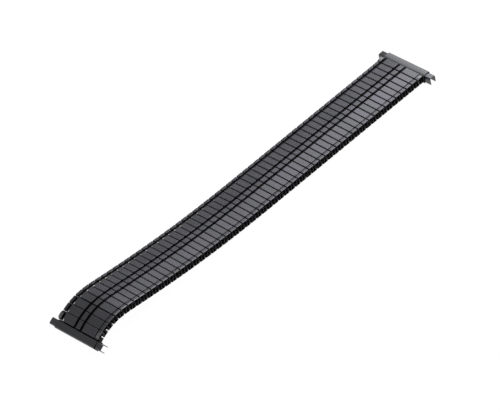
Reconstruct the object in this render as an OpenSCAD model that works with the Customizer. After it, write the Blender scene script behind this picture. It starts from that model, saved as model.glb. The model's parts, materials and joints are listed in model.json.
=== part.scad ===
// Expansion watch band: two rows of sleeves joined by side staples, with a self-adjusting end piece
// at each end. Millimetres. X runs along the band, Y across it, Z up from the surface it lies on.
// Links are counted from the right end, and segments from 1 there.

/* [Band] */
// Number of top links
link_count = 58; // [50:1:66]
// Pitch of the links along the band
pitch = 2.45; // [2.4:0.05:2.8]
// Width of the band across its top shells
band_w = 17; // [15:0.5:20]
// Where each segment ends, as a share of all the links
segment_end_share = [0.12, 0.225, 0.33, 0.43, 0.535, 0.64, 0.73, 0.81, 0.88, 0.95, 1];

/* [Side curve] */
// Slope at which the band climbs towards its left end, in degrees
rise_angle = 7.46; // [4:0.02:10]
// Slope at which the left end runs down, in degrees
drop_angle = 32; // [20:1:36]
// Place along the band where the climb starts
rise_start_share = 0.43; // [0.3:0.01:0.55]
// Place along the band where the climb is steepest
rise_full_share = 0.93; // [0.7:0.01:0.95]
// Place along the band where the left end starts to bend down
drop_start_share = 0.915; // [0.87:0.005:0.92]

/* [Sleeves] */
// Height of a sleeve
sleeve_h = 1.3; // [0.9:0.05:1.3]
// Thickness of a sleeve's sheet
sleeve_wall = 0.13; // [0.1:0.01:0.14]
// Distance from each end of a shell to the end of its sleeve
sleeve_inset = 0.4; // [0.4:0.05:1]
// Gap between neighbouring lower sleeves
lower_gap = 0.24; // [0.2:0.01:0.3]
// Gap between the upper and lower rows
row_gap = 0.12; // [0.1:0.01:0.2]
// Radius of a sleeve's edges
sleeve_r = 0.2; // [0.15:0.01:0.3]

/* [Top shells] */
// Gap between neighbouring top shells
shell_gap = 0.2; // [0.17:0.01:0.26]
// Thickness of a shell's folded lips
lip_wall = 0.1; // [0.08:0.01:0.12]
// How far the lips reach down the sleeve
lip_h = 0.45; // [0.3:0.05:0.7]
// Thickness of a shell at the bottom of its grooves
shell_base = 0.14; // [0.1:0.01:0.2]
// Height of the panels above the bottom of the grooves
panel_h = 0.28; // [0.2:0.02:0.4]
// Radius of a shell's long top edges
shell_r = 0.2; // [0.1:0.02:0.3]
// Distance from the centreline to each middle groove
mid_groove_y = 1.3; // [1:0.1:3]
// Distance from the centreline to each outer groove
outer_groove_y = 7.05; // [5:0.05:7.1]
// Width of the middle grooves and of the far outer groove
groove_w = 0.7; // [0.4:0.05:0.9]
// Width of the near outer groove
fine_groove_w = 0.3; // [0.2:0.05:0.5]
// Depth of the near outer groove
fine_groove_depth = 0.14; // [0.08:0.02:0.2]

/* [Staples] */
// Diameter of a staple's arms
arm_d = 0.3; // [0.24:0.01:0.32]
// Length of an arm inside its sleeve
arm_len = 4; // [2:0.5:5]
// Distance along the band from the middle of a top link to its arms
arm_offset = 0.67; // [0.62:0.01:0.68]
// Width of a staple's web
web_w = 0.46; // [0.4:0.02:0.5]
// Thickness of a staple's web
web_t = 0.3; // [0.25:0.01:0.35]
// Gap between a web and the ends of the sleeves
web_gap = 0.06; // [0.04:0.01:0.1]
// Gap between an arm and the outer wall of its sleeve
arm_seat = 0.06; // [0.04:0.01:0.08]

/* [Leaf springs] */
// Thickness of a leaf spring
leaf_t = 0.1; // [0.08:0.01:0.12]
// Width of a leaf spring along the band
leaf_w = 1.5; // [1:0.1:1.6]
// Length of a leaf spring across the band
leaf_len = 10; // [9:0.5:12]
// Length of each flat end of a leaf spring
leaf_flat = 1.2; // [0.8:0.1:1.4]

/* [End pieces] */
// Depth of a housing along the band
housing_w = 2.9; // [2.8:0.05:3.4]
// Height of a housing
housing_h = 3; // [2.8:0.05:3.2]
// Thickness of a housing's sheet
housing_wall = 0.25; // [0.2:0.01:0.28]
// Outer radius of a housing's top edges
housing_r = 0.8; // [0.6:0.05:0.9]
// How far a housing hangs below the underside of the links
housing_drop = 0.3; // [0.1:0.05:0.6]
// Width of the lips folded in under a housing
housing_lip = 0.5; // [0.35:0.05:0.6]
// Gap between a housing and the top shell beside it
housing_gap = 0.25; // [0.2:0.01:0.3]
// Running clearance of a slide in its housing
slide_clearance = 0.05; // [0.03:0.01:0.08]
// Thickness of a slide's sheet
slide_wall = 0.25; // [0.2:0.01:0.28]
// Length of a slide
slide_len = 7; // [6.5:0.25:7.5]
// Travel of each slide, from fully out to flush with its housing
slide_travel = 2.5; // [1.5:0.25:2.5]
// Thickness of the wall at a slide's inner end
end_wall = 0.3; // [0.25:0.05:0.4]
// Diameter of the passage for the watch's spring bar
bar_hole_d = 1.3; // [1.1:0.05:1.35]

/* [Coil springs] */
// Outer diameter of a coil spring
coil_d = 1.8; // [1.75:0.01:1.9]
// Diameter of a coil spring's wire
coil_wire_d = 0.2; // [0.16:0.01:0.24]
// Number of curls of a coil spring
coil_curls = 8; // [6:1:9]

/* [Hidden] */
// Segments whose left junction stretches; every other junction flexes
stretch_after = [2, 5, 8];
segment_count = len(segment_end_share);
// Overrun of every cut past the face that it opens
overrun = 0.5;
// Sides of a full circle
round_fn = 48;
arm_fn = 24;
// Exponent of the bend at the left end
drop_power = 1.3;
// Rings along one curl, and sides of the coil's wire
curl_rings = 8;
wire_sides = 6;
steel_dark = [0.16, 0.16, 0.17];
steel_edge = [0.12, 0.12, 0.13];
steel_spring = [0.3, 0.3, 0.32];

sleeve_len = band_w - 2 * sleeve_inset;
shell_w = pitch - shell_gap;
upper_w = shell_w - 2 * lip_wall;
lower_w = pitch - lower_gap;
upper_z = sleeve_h + row_gap;
upper_top = upper_z + sleeve_h;
groove_floor = upper_top + shell_base;
shell_top = groove_floor + panel_h;
lower_arm_z = sleeve_wall + arm_seat + arm_d / 2;
upper_arm_z = upper_top - sleeve_wall - arm_seat - arm_d / 2;
web_y = sleeve_len / 2 + web_gap;
housing_x = pitch / 2 + housing_gap;
last = link_count - 1;

// First and last top link of a segment
function segment_end(k) = k == 0 ? -1 : round(link_count * segment_end_share[k - 1]) - 1;
function segment_start(k) = segment_end(k - 1) + 1;
function stretches(k) = len([for (s = stretch_after) if (s == k) s]) > 0;

// Slope of the band at link i: positive runs down towards the left end
function ramp(t) = let (c = max(0, min(1, t))) c * c * (3 - 2 * c);
function slope(i) =
    let (
        share = i / last,
        climb = ramp((share - rise_start_share) / (rise_full_share - rise_start_share)),
        fall = pow(max(0, (share - drop_start_share) / (1 - drop_start_share)), drop_power)
    )
    (rise_angle + drop_angle) * fall - rise_angle * climb;
function mid_slope(i) = (slope(i) + slope(i + 1)) / 2;
function step_to(i) = -pitch * [cos(mid_slope(i)), sin(mid_slope(i))];

// Where the underside of the lower row passes below each top link, as [x, z]
spine = [for (i = 0, p = [0, 0]; i < link_count; p = p + step_to(i), i = i + 1) p];

// The left housing's corners, turned with the last link, give the ends of the whole band
left_slope = slope(last);
left_out = housing_x + housing_w;
left_tip_x = spine[last][0]
    - (left_out - housing_r) * cos(left_slope)
    - (housing_h - housing_drop - housing_r) * sin(left_slope)
    - housing_r;
left_low_z = spine[last][1] - left_out * sin(left_slope) - housing_drop * cos(left_slope);
right_tip_x = housing_x + housing_w;
origin_x = (left_tip_x + right_tip_x) / 2;
origin_z = min(-housing_drop, left_low_z);

module from_origin() {
    translate([-origin_x, 0, -origin_z]) children();
}

module at_upper(i) {
    from_origin() translate([spine[i][0], 0, spine[i][1]]) rotate([0, -slope(i), 0]) children();
}

// The lower sleeve with number i lies between the top links i and i + 1
module at_lower(i) {
    middle = (spine[i] + spine[i + 1]) / 2;
    from_origin() translate([middle[0], 0, middle[1]]) rotate([0, -mid_slope(i), 0]) children();
}

// Turns a profile drawn in X and Z so that it runs along Y, centred on the band
module across(length) {
    rotate([90, 0, 0]) linear_extrude(height = length, center = true) children();
}

module rounded_rect(w, h, r) {
    translate([r - w / 2, 0]) square([w - 2 * r, h]);
    translate([-w / 2, r]) square([w, h - 2 * r]);
    for (side = [-1, 1]) for (z = [r, h - r]) translate([side * (w / 2 - r), z]) circle(r = r, $fn = round_fn);
}

module round_top(w, h, r) {
    translate([-w / 2, 0]) square([w, h - r]);
    translate([r - w / 2, 0]) square([w - 2 * r, h]);
    for (side = [-1, 1]) translate([side * (w / 2 - r), h - r]) circle(r = r, $fn = round_fn);
}

// A flat tube of folded sheet, open at both ends
module sleeve(w) {
    across(sleeve_len) difference() {
        rounded_rect(w, sleeve_h, sleeve_r);
        translate([sleeve_wall - w / 2, sleeve_wall]) square([w - 2 * sleeve_wall, sleeve_h - 2 * sleeve_wall]);
    }
}

module groove(y, w, depth) {
    translate([-shell_w / 2 - overrun, y - w / 2, shell_top - depth]) cube([shell_w + 2 * overrun, w, depth + overrun]);
}

// One top shell: panels parted by grooves, with lips folded down both sides of its sleeve
module shell() {
    difference() {
        across(band_w) difference() {
            translate([0, upper_top - lip_h]) round_top(shell_w, shell_top - upper_top + lip_h, shell_r);
            translate([-upper_w / 2, upper_top - lip_h - overrun]) square([upper_w, lip_h + overrun]);
        }
        groove(-outer_groove_y, fine_groove_w, fine_groove_depth);
        groove(-mid_groove_y, groove_w, panel_h);
        groove(mid_groove_y, groove_w, panel_h);
        groove(outer_groove_y, groove_w, panel_h);
    }
}

// A staple at x, with one arm in an upper sleeve and one in the lower sleeve below it
module staple(x, side) {
    translate([x, side * (web_y + web_t / 2), 0]) {
        across(web_t) union() {
            translate([-web_w / 2, lower_arm_z]) square([web_w, upper_arm_z - lower_arm_z]);
            for (z = [lower_arm_z, upper_arm_z]) translate([0, z]) circle(d = web_w, $fn = round_fn);
        }
        for (z = [lower_arm_z, upper_arm_z])
            translate([0, 0, z]) rotate([side * 90, 0, 0]) cylinder(d = arm_d, h = web_t / 2 + web_gap + arm_len, $fn = arm_fn);
    }
}

// The two pairs of staples beside a top link: right is +1 towards the right end
module staple_pair(right) {
    for (side = [-1, 1]) staple(right * arm_offset, side);
}

// A bowed leaf whose flat ends press on the arms and whose middle bears on the inner wall.
// seat is the height of the arms' pressed side, and up tells which way the leaf bows
module leaf(seat, wall, up) {
    span = leaf_len / 2 - leaf_flat;
    rise = abs(wall - seat) - leaf_t;
    bow = function(y) rise * (1 - pow(sin(90 * y / span), 2));
    steps = 5;
    ys = [for (n = [-steps:steps]) span * n / steps];
    low = concat([[-leaf_len / 2, 0]], [for (y = ys) [y, bow(y)]], [[leaf_len / 2, 0]]);
    outline = concat(low, [for (n = [len(low) - 1:-1:0]) low[n] + [0, leaf_t]]);
    translate([0, 0, seat]) mirror([0, 0, up > 0 ? 0 : 1]) rotate([90, 0, 90])
        linear_extrude(height = leaf_w, center = true) polygon(outline);
}

module upper_leaf() {
    leaf(upper_arm_z - arm_d / 2, upper_z + sleeve_wall, -1);
}

// Where the band bends down, the arms tilt up in the lower sleeve with number i, and its leaf sits higher
module lower_leaf(i) {
    lift = max(0, arm_offset * sin((slope(i + 1) - slope(i)) / 2));
    leaf(lower_arm_z + arm_d / 2 + lift, sleeve_h - sleeve_wall, 1);
}

module shells(k) {
    color(steel_dark) for (i = [segment_start(k):segment_end(k)]) at_upper(i) shell();
}

// A segment holds its upper sleeves and the lower sleeve on the right of each, except at the right
// end of the band, where the hook takes that sleeve's place
module sleeves(k) {
    color(steel_edge) {
        for (i = [segment_start(k):segment_end(k)]) at_upper(i) translate([0, 0, upper_z]) sleeve(upper_w);
        for (i = [max(1, segment_start(k)):segment_end(k)]) at_lower(i - 1) sleeve(lower_w);
    }
}

module leaf_springs(k) {
    color(steel_spring) {
        for (i = [segment_start(k):segment_end(k)]) at_upper(i) upper_leaf();
        for (i = [max(1, segment_start(k)):segment_end(k)]) at_lower(i - 1) lower_leaf(i - 1);
    }
}

// Staples that ride with a segment: both pairs of each top link, except the left pair of the last
// link beside a junction that stretches
module staples(k) {
    color(steel_edge) {
        for (i = [segment_start(k):segment_end(k)]) at_upper(i) staple_pair(1);
        for (i = [segment_start(k):segment_end(k)]) if (i < segment_end(k) || !stretches(k)) at_upper(i) staple_pair(-1);
    }
}

// The staples that swing when the junction on the left of segment k stretches
module swing_staples(k) {
    color(steel_edge) at_upper(segment_end(k)) staple_pair(-1);
}

// Places an end piece drawn for the right end: the left one is its mirror image
module at_right_end() {
    at_upper(0) translate([housing_x + housing_w / 2, 0, -housing_drop]) children();
}

module at_left_end() {
    at_upper(last) translate([-housing_x - housing_w / 2, 0, -housing_drop]) mirror([1, 0, 0]) children();
}

// The outer sleeve of an end piece: a sheet folded over the slides, with its lips turned in
module housing() {
    inner_w = housing_w - 2 * housing_wall;
    color(steel_dark) across(band_w) difference() {
        round_top(housing_w, housing_h, housing_r);
        translate([0, housing_wall]) round_top(inner_w, housing_h - 2 * housing_wall, housing_r - housing_wall);
        translate([housing_lip - housing_w / 2, -overrun]) square([housing_w - 2 * housing_lip, 2 * overrun]);
    }
}

// The half sleeve that ties the first staples to the housing
module hook() {
    left = -housing_w / 2 - housing_gap - pitch / 2 + lower_gap / 2;
    right = -housing_w / 2;
    color(steel_edge) translate([0, 0, housing_drop]) across(sleeve_len) difference() {
        translate([left, 0]) square([right - left, sleeve_h]);
        translate([left + sleeve_wall, sleeve_wall]) square([right - left - 2 * sleeve_wall, sleeve_h - 2 * sleeve_wall]);
    }
}

slide_w = housing_w - 2 * housing_wall - 2 * slide_clearance;
slide_z = housing_wall + slide_clearance;
slide_h = housing_h - housing_wall - slide_clearance - slide_z;
slide_r = housing_r - housing_wall - slide_clearance;
slide_out = band_w / 2 + slide_travel;
bar_z = slide_z + slide_h / 2;

// A channel that slides out of the housing: its outer end is open, and its inner end is bored
module slide(side) {
    color(steel_dark) mirror([0, side > 0 ? 0 : 1, 0]) difference() {
        translate([0, slide_out - slide_len / 2, slide_z]) across(slide_len) round_top(slide_w, slide_h, slide_r);
        translate([0, slide_out - slide_len / 2 + end_wall, slide_z - overrun]) across(slide_len)
            round_top(slide_w - 2 * slide_wall, slide_h - slide_wall + overrun, slide_r - slide_wall);
        translate([0, slide_out - slide_len + end_wall / 2, bar_z]) rotate([90, 0, 0])
            cylinder(d = bar_hole_d, h = end_wall + 2 * overrun, center = true, $fn = round_fn);
    }
}

// The wire of a coil spring is swept along a helix that runs straight for one wire at each end
coil_half = slide_out - slide_len;
coil_lead = coil_wire_d;
coil_r = (coil_d - coil_wire_d) / 2;
helix_half = coil_half - coil_wire_d / 2;
helix = [
    for (n = [0:coil_curls * curl_rings])
        let (t = n / (coil_curls * curl_rings), turn = 360 * coil_curls * t)
        [coil_r * cos(turn), helix_half * (2 * t - 1), coil_r * sin(turn)]
];
lead_in = [coil_r, -helix_half, -coil_lead];
lead_out = [coil_r, helix_half, coil_lead];
coil_path = concat([lead_in], helix, [lead_out]);

function unit(v) = v / norm(v);
function along(p, n) = unit(p[min(n + 1, len(p) - 1)] - p[max(n - 1, 0)]);
function ring(p, n, r, sides) =
    let (
        t = along(p, n),
        u = unit(cross(t, abs(t[1]) > 0.9 ? [1, 0, 0] : [0, 1, 0])),
        v = cross(t, u)
    )
    [for (s = [0:sides - 1]) p[n] + r * (cos(360 * s / sides) * u + sin(360 * s / sides) * v)];

module wire_tube(p, r, sides) {
    points = [for (n = [0:len(p) - 1]) each ring(p, n, r, sides)];
    walls = [
        for (n = [0:len(p) - 2]) for (s = [0:sides - 1])
            let (a = n * sides + s, b = n * sides + (s + 1) % sides)
            each [[a, b, a + sides], [b, b + sides, a + sides]]
    ];
    start = [for (s = [1:sides - 2]) [0, s + 1, s]];
    base = (len(p) - 1) * sides;
    finish = [for (s = [1:sides - 2]) [base, base + s, base + s + 1]];
    polyhedron(points = points, faces = concat(walls, start, finish));
}

module coil() {
    color(steel_spring) translate([0, 0, bar_z]) wire_tube(coil_path, coil_wire_d / 2, wire_sides);
}

// Least gap of the coil's wire to itself, measured between points at least half a curl apart
coil_gap = min([
    for (a = [0:len(helix) - 1]) for (b = [a + curl_rings / 2 : 1 : len(helix) - 1])
        norm(helix[a] - helix[b]) - coil_wire_d
]);
echo(coil_gap = coil_gap);
echo(spine_end = spine[last], left_low_z = left_low_z, origin_x = origin_x, origin_z = origin_z);

shells(1);  // shells_1
shells(2);  // shells_2
shells(3);  // shells_3
shells(4);  // shells_4
shells(5);  // shells_5
shells(6);  // shells_6
shells(7);  // shells_7
shells(8);  // shells_8
shells(9);  // shells_9
shells(10);  // shells_10
shells(11);  // shells_11
sleeves(1);  // sleeves_1
sleeves(2);  // sleeves_2
sleeves(3);  // sleeves_3
sleeves(4);  // sleeves_4
sleeves(5);  // sleeves_5
sleeves(6);  // sleeves_6
sleeves(7);  // sleeves_7
sleeves(8);  // sleeves_8
sleeves(9);  // sleeves_9
sleeves(10);  // sleeves_10
sleeves(11);  // sleeves_11
leaf_springs(1);  // leaf_springs_1
leaf_springs(2);  // leaf_springs_2
leaf_springs(3);  // leaf_springs_3
leaf_springs(4);  // leaf_springs_4
leaf_springs(5);  // leaf_springs_5
leaf_springs(6);  // leaf_springs_6
leaf_springs(7);  // leaf_springs_7
leaf_springs(8);  // leaf_springs_8
leaf_springs(9);  // leaf_springs_9
leaf_springs(10);  // leaf_springs_10
leaf_springs(11);  // leaf_springs_11
staples(1);  // staples_1
staples(2);  // staples_2
staples(3);  // staples_3
staples(4);  // staples_4
staples(5);  // staples_5
staples(6);  // staples_6
staples(7);  // staples_7
staples(8);  // staples_8
staples(9);  // staples_9
staples(10);  // staples_10
staples(11);  // staples_11
swing_staples(2);  // swing_staples_2
swing_staples(5);  // swing_staples_5
swing_staples(8);  // swing_staples_8
at_right_end() housing();  // right_housing
at_right_end() hook();  // right_hook
at_right_end() slide(-1);  // right_near_slide
at_right_end() slide(1);  // right_far_slide
at_right_end() coil();  // right_coil
at_left_end() housing();  // left_housing
at_left_end() hook();  // left_hook
at_left_end() slide(-1);  // left_near_slide
at_left_end() slide(1);  // left_far_slide
at_left_end() coil();  // left_coil
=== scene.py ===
"""Expansion watch band: looks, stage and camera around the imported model, laid out as an add-on.

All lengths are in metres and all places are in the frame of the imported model: X along the band,
Y across it, Z up from the floor.
"""

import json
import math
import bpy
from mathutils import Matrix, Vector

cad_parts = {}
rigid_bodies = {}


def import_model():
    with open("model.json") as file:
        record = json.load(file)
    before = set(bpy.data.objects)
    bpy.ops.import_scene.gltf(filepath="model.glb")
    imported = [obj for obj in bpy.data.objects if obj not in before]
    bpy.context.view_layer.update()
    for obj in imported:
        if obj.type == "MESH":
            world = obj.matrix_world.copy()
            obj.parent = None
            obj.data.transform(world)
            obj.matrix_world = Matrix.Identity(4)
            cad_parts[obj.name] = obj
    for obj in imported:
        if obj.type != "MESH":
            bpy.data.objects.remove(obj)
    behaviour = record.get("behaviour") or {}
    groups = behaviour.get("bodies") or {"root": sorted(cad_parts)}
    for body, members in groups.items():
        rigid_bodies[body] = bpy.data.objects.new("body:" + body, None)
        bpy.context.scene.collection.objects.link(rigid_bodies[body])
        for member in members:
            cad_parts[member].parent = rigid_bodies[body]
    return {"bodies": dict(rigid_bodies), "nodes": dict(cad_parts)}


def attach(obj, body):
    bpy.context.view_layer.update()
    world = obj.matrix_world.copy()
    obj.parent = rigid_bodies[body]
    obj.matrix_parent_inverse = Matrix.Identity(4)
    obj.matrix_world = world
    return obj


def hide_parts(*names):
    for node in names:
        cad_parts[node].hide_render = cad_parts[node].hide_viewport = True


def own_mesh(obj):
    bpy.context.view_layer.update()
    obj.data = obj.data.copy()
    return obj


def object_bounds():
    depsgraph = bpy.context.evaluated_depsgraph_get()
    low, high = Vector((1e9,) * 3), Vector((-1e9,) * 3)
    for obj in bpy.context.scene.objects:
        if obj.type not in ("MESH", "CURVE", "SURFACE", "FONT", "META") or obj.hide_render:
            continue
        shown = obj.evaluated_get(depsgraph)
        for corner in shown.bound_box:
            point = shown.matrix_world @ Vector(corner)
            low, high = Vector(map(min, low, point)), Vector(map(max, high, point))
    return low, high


bl_info = {
    "name": "Expansion Watch Band",
    "version": (1, 0, 0),
    "blender": (4, 5, 0),
    "location": "3D View > Sidebar > Watch Band",
    "description": "Dresses the links, staples, springs and end pieces of an expansion watch band",
    "category": "Object",
}

import bmesh
import bpy
from bpy.props import FloatProperty, FloatVectorProperty, IntProperty, PointerProperty
from mathutils import Matrix, Vector

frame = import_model()
CAD_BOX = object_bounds()

MM = 0.001
WELD = 2e-6  # corners closer than this are one corner
FLAT = 0.5  # largest Y of the normal of a face that doesn't look towards a side edge
SAME_PLANE = math.radians(0.5)  # faces that meet at less than this are one face
ROUNDED = math.radians(40)  # edges up to these angles shade smoothly: rounded wire,
FOLDED = math.radians(50)  # folded shells and sleeves
BEVELLED = math.radians(35)  # and bevelled sheet
SEGMENTS = sum(1 for body in frame["bodies"] if body.startswith("segment_"))
SWINGS = [body for body in frame["bodies"] if body.startswith("swing_")]
ENDS = {"right": 1, "left": SEGMENTS}  # the segment of each end piece
OUTWARD = {"right": 1, "left": -1}  # where each end looks to in X
SIDES = {"near": -1, "far": 1}  # where each side lies in Y


def rgb(name, description, default):
    """A colour setting."""
    return FloatVectorProperty(
        name=name, description=description, subtype="COLOR", size=3, min=0, max=1, default=default
    )


def mm(name, description, default):
    """A length setting, with its default in millimetres."""
    return FloatProperty(
        name=name, description=description, subtype="DISTANCE", unit="LENGTH", min=0, default=default * MM
    )


def scalar(name, description, default):
    """A setting that is a plain number."""
    return FloatProperty(name=name, description=description, default=default)


class ShellSettings(bpy.types.PropertyGroup):
    corner: mm("Corner", "How far a shell's corners are drawn in at its short ends", 0.1)
    base: mm("Base", "Thickness of a shell at the bottom of its grooves", 0.14)
    lip: mm("Lip", "How far a shell's lips reach down the sleeve", 0.45)
    lip_wall: mm("Lip wall", "Thickness of a shell's lips", 0.1)
    edge_radius: mm("Edge radius", "Radius of a shell's long top edges", 0.2)
    end_drop: mm("End drop", "How far a shell's short ends are rounded down", 0.16)
    crown: mm("Crown", "How much higher a shell is in its middle than at its ends", 0.13)
    bevel: mm("Bevel", "Width of the bevel along each groove", 0.06)
    wall_lean: mm("Wall lean", "How far a groove's walls lean in at its bottom", 0.05)
    middle_groove: mm("Middle groove", "Distance of each middle groove from the centreline", 1.3)
    outer_groove: mm("Outer groove", "Distance of the far outer groove from the centreline", 7.05)
    fine_groove: mm("Fine groove", "Distance of the near outer groove from the centreline", 7.2)
    groove_width: mm("Groove width", "Width of the middle grooves and the far outer one", 0.95)
    fine_width: mm("Fine groove width", "Width of the near outer groove", 0.3)
    groove_depth: mm("Groove depth", "Depth of the middle grooves and the far outer one", 0.28)
    fine_depth: mm("Fine groove depth", "Depth of the near outer groove", 0.14)
    gap: mm("Gap", "Gap left between two shells that bend apart", 0.2)
    hinge_room: mm("Hinge room", "What is added to that gap where the band flexes backwards", 0.09)
    end_reach: mm("End reach", "How far the first and last shell reach towards the end pieces", 0.34)
    # Painted highlight: this setting paints the pale glint colour on a shell's rounded near end.
    near_glint: scalar("Near wear", "How far a shell's near end is rubbed bare", 0.45)
    far_shade: scalar("Far shade", "How much darker a shell's far strip is", 0.2)
    seed: IntProperty(name="Seed", description="Seed of the small differences between shells", default=7)


class StapleSettings(bpy.types.PropertyGroup):
    arm: mm("Arm", "Diameter of a staple's arms", 0.26)
    depth: mm("Web depth", "Thickness of a staple's web", 0.3)
    reach: mm("Reach", "How far an arm reaches into its sleeve from the web", 4.1)
    bend: mm("Bend", "Radius of the bends between arm and web", 0.16)


class SleeveSettings(bpy.types.PropertyGroup):
    radius: mm("Radius", "Outer radius of a sleeve's edges", 0.2)
    wall: mm("Wall", "Thickness of a sleeve's sheet", 0.13)
    end_bevel: mm("End bevel", "Width of the bevel round a sleeve's ends", 0.04)


class CoverSettings(bpy.types.PropertyGroup):
    sheet: mm("Sheet", "Thickness of a cover's sheet", 0.18)
    lip: mm("Lip", "How far each lip reaches in under a cover", 0.5)
    foot: mm("Foot", "Bevel of a cover's lower edge beside the links", 0.1)
    toe: mm("Toe", "Radius of a cover's outer lower edge", 0.4)
    inner_radius: mm("Inner radius", "Radius of the shoulder beside the links", 0.75)
    outer_radius: mm("Outer radius", "Radius of the outer shoulder", 0.55)
    slant: scalar("Slant", "Angle in degrees at which the crowned top meets the shoulder", 9)
    edge: mm("Edge", "Bevel round a cover's ends", 0.05)


class LoopSettings(bpy.types.PropertyGroup):
    sheet: mm("Sheet", "Thickness of a loop's sheet", 0.15)
    lip: mm("Lip", "Width of a loop's lower edges", 0.17)
    foot: mm("Foot", "Bevel of a loop's lower edge on the band's side", 0.03)
    toe: mm("Toe", "Radius of a loop's lower edge on the end piece's side", 0.05)
    inner_radius: mm("Inner radius", "Radius of a loop's shoulder on the band's side", 0.5)
    outer_radius: mm("Outer radius", "Radius of a loop's shoulder on the end piece's side", 0.5)
    slant: scalar("Slant", "Angle in degrees at which the crowned top meets the shoulder", 14)
    # Painted shade: this setting darkens a loop's cut ends, for the dark opening under its arch.
    cut_end_shade: scalar("End depth", "How dark a loop's cut ends are", 0.25)
    edge: mm("Edge", "Bevel round a loop's ends", 0.03)
    length: mm("Length", "Length of a loop across the band", 1.2)
    height: mm("Height", "Height of a loop", 1.65)
    proud: mm("Proud", "How far a loop stands out beside the shells", 0.22)


class FinishSettings(bpy.types.PropertyGroup):
    shell: rgb("Shell", "Black coat of the top shells", (0.091, 0.09, 0.099))
    # Both end pieces have one black coat; the left one gets a darker copy of it, painted shade for the dimmer
    # light its tilted top reflects.
    right_housing: rgb("Right housing", "Black coat of the right end piece", (0.118, 0.118, 0.122))
    left_housing: rgb("Left housing", "Black coat of the left end piece", (0.083, 0.083, 0.087))
    # Painted highlight: the loops get a paler coat than the other black pieces, for the bright highlight
    # along their arches.
    loop: rgb("Loop", "Coat of the loops at both ends of the outermost links", (0.17, 0.17, 0.172))
    # The sleeves and staples get a far darker black than the shells: painted shade for their place low on the
    # band's sides and under the shells.
    sleeve: rgb("Sleeve", "Black coat of the sleeves", (0.011, 0.011, 0.014))
    staple: rgb("Staple", "Black coat of the staples", (0.008, 0.008, 0.01))
    # Painted shade: this near-black is mixed into grooves, hollows, the gaps between shells, the far strip
    # and cut ends, where shade falls.
    groove: rgb("Groove", "Bottom of the grooves", (0.006, 0.006, 0.007))
    slide: rgb("Slide", "Black coat of the slides", (0.062, 0.062, 0.065))
    spring: rgb("Spring", "Bare spring steel", (0.4, 0.4, 0.42))
    # Painted highlight: this pale colour is painted as glints on the shells' groove edges and near ends.
    worn: rgb("Worn", "Steel that shows where the coat is rubbed off", (0.75, 0.74, 0.7))
    bevel: mm("Bevel", "Width of the bevel on every folded sheet's edges", 0.035)


class StageSettings(bpy.types.PropertyGroup):
    floor: rgb("Floor", "Colour of the floor", (0.8, 0.8, 0.8))
    floor_span: mm("Floor span", "Distance of the floor's edges from its middle", 6000)
    ceiling: scalar("Ceiling", "Strength of the light from high up", 0.46)
    horizon: scalar("Horizon", "Strength of the light from low down", 1.0)
    lamp: FloatProperty(name="Lamp", description="Power of the large soft lamp", unit="POWER", default=3.0)
    lamp_size: mm("Lamp size", "Side of the large soft lamp", 536)
    lamp_place: FloatVectorProperty(
        name="Lamp place", description="Middle of the large soft lamp", subtype="TRANSLATION",
        unit="LENGTH", size=3, default=(0.34, 0.086, 0.47),
    )
    backdrop: scalar("Backdrop", "Share of plain white in the floor as it is seen", 0.95)
    glow: scalar("Glow", "Strength of that white", 1.03)


def settings():
    return bpy.context.scene.watch_band


class BandSettings(bpy.types.PropertyGroup):
    shells: PointerProperty(type=ShellSettings)
    staples: PointerProperty(type=StapleSettings)
    sleeves: PointerProperty(type=SleeveSettings)
    covers: PointerProperty(type=CoverSettings)
    loops: PointerProperty(type=LoopSettings)
    finish: PointerProperty(type=FinishSettings)
    stage: PointerProperty(type=StageSettings)


# Reading the solids of the frame


def merged_copy(node):
    """The node's mesh with its loose triangles joined, as a new bmesh."""
    made = bmesh.new()
    made.from_mesh(frame["nodes"][node].data)
    bmesh.ops.remove_doubles(made, verts=made.verts, dist=WELD)
    return made


def solids(node):
    """Each solid of a node, as a list of its faces' (area, normal) and its corners."""
    made = merged_copy(node)
    left = dict.fromkeys(made.verts)
    found = []
    while left:
        stack = [left.popitem()[0]]
        group = []
        while stack:
            vert = stack.pop()
            group.append(vert)
            for edge in vert.link_edges:
                other = edge.other_vert(vert)
                if other in left:
                    del left[other]
                    stack.append(other)
        faces = dict.fromkeys(face for vert in group for face in vert.link_faces)
        sizes = [(face.calc_area(), face.normal.copy()) for face in faces]
        found.append((sizes, [vert.co.copy() for vert in group]))
    made.free()
    return found


def tilt_of(faces):
    """Angle about Y of a link, from its largest face that doesn't look towards a side edge."""
    flat = [(area, normal) for area, normal in faces if abs(normal.y) < FLAT]
    normal = max(flat, key=lambda pair: pair[0])[1]
    if normal.z < 0:
        normal = -normal
    return math.atan2(normal.x, normal.z)


def local_box(corners, tilt):
    """Lowest and highest corner in the axes of a solid that is turned by tilt about Y."""
    back = Matrix.Rotation(-tilt, 3, "Y")
    turned = [back @ corner for corner in corners]
    low = Vector(min(v[axis] for v in turned) for axis in range(3))
    high = Vector(max(v[axis] for v in turned) for axis in range(3))
    return low, high


def link_places(node):
    """Tilt, low and high corner of each flat solid in a node, from the right end to the left."""
    places = []
    for faces, corners in solids(node):
        tilt = tilt_of(faces)
        low, high = local_box(corners, tilt)
        places.append((sum(corner.x for corner in corners) / len(corners), tilt, low, high))
    return [place[1:] for place in sorted(places, key=lambda place: -place[0])]


def end_link(end):
    """Tilt, low and high corner of the outermost upper link at an end."""
    return link_places(f"shells_{ENDS[end]}")[0 if end == "right" else -1]


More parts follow.
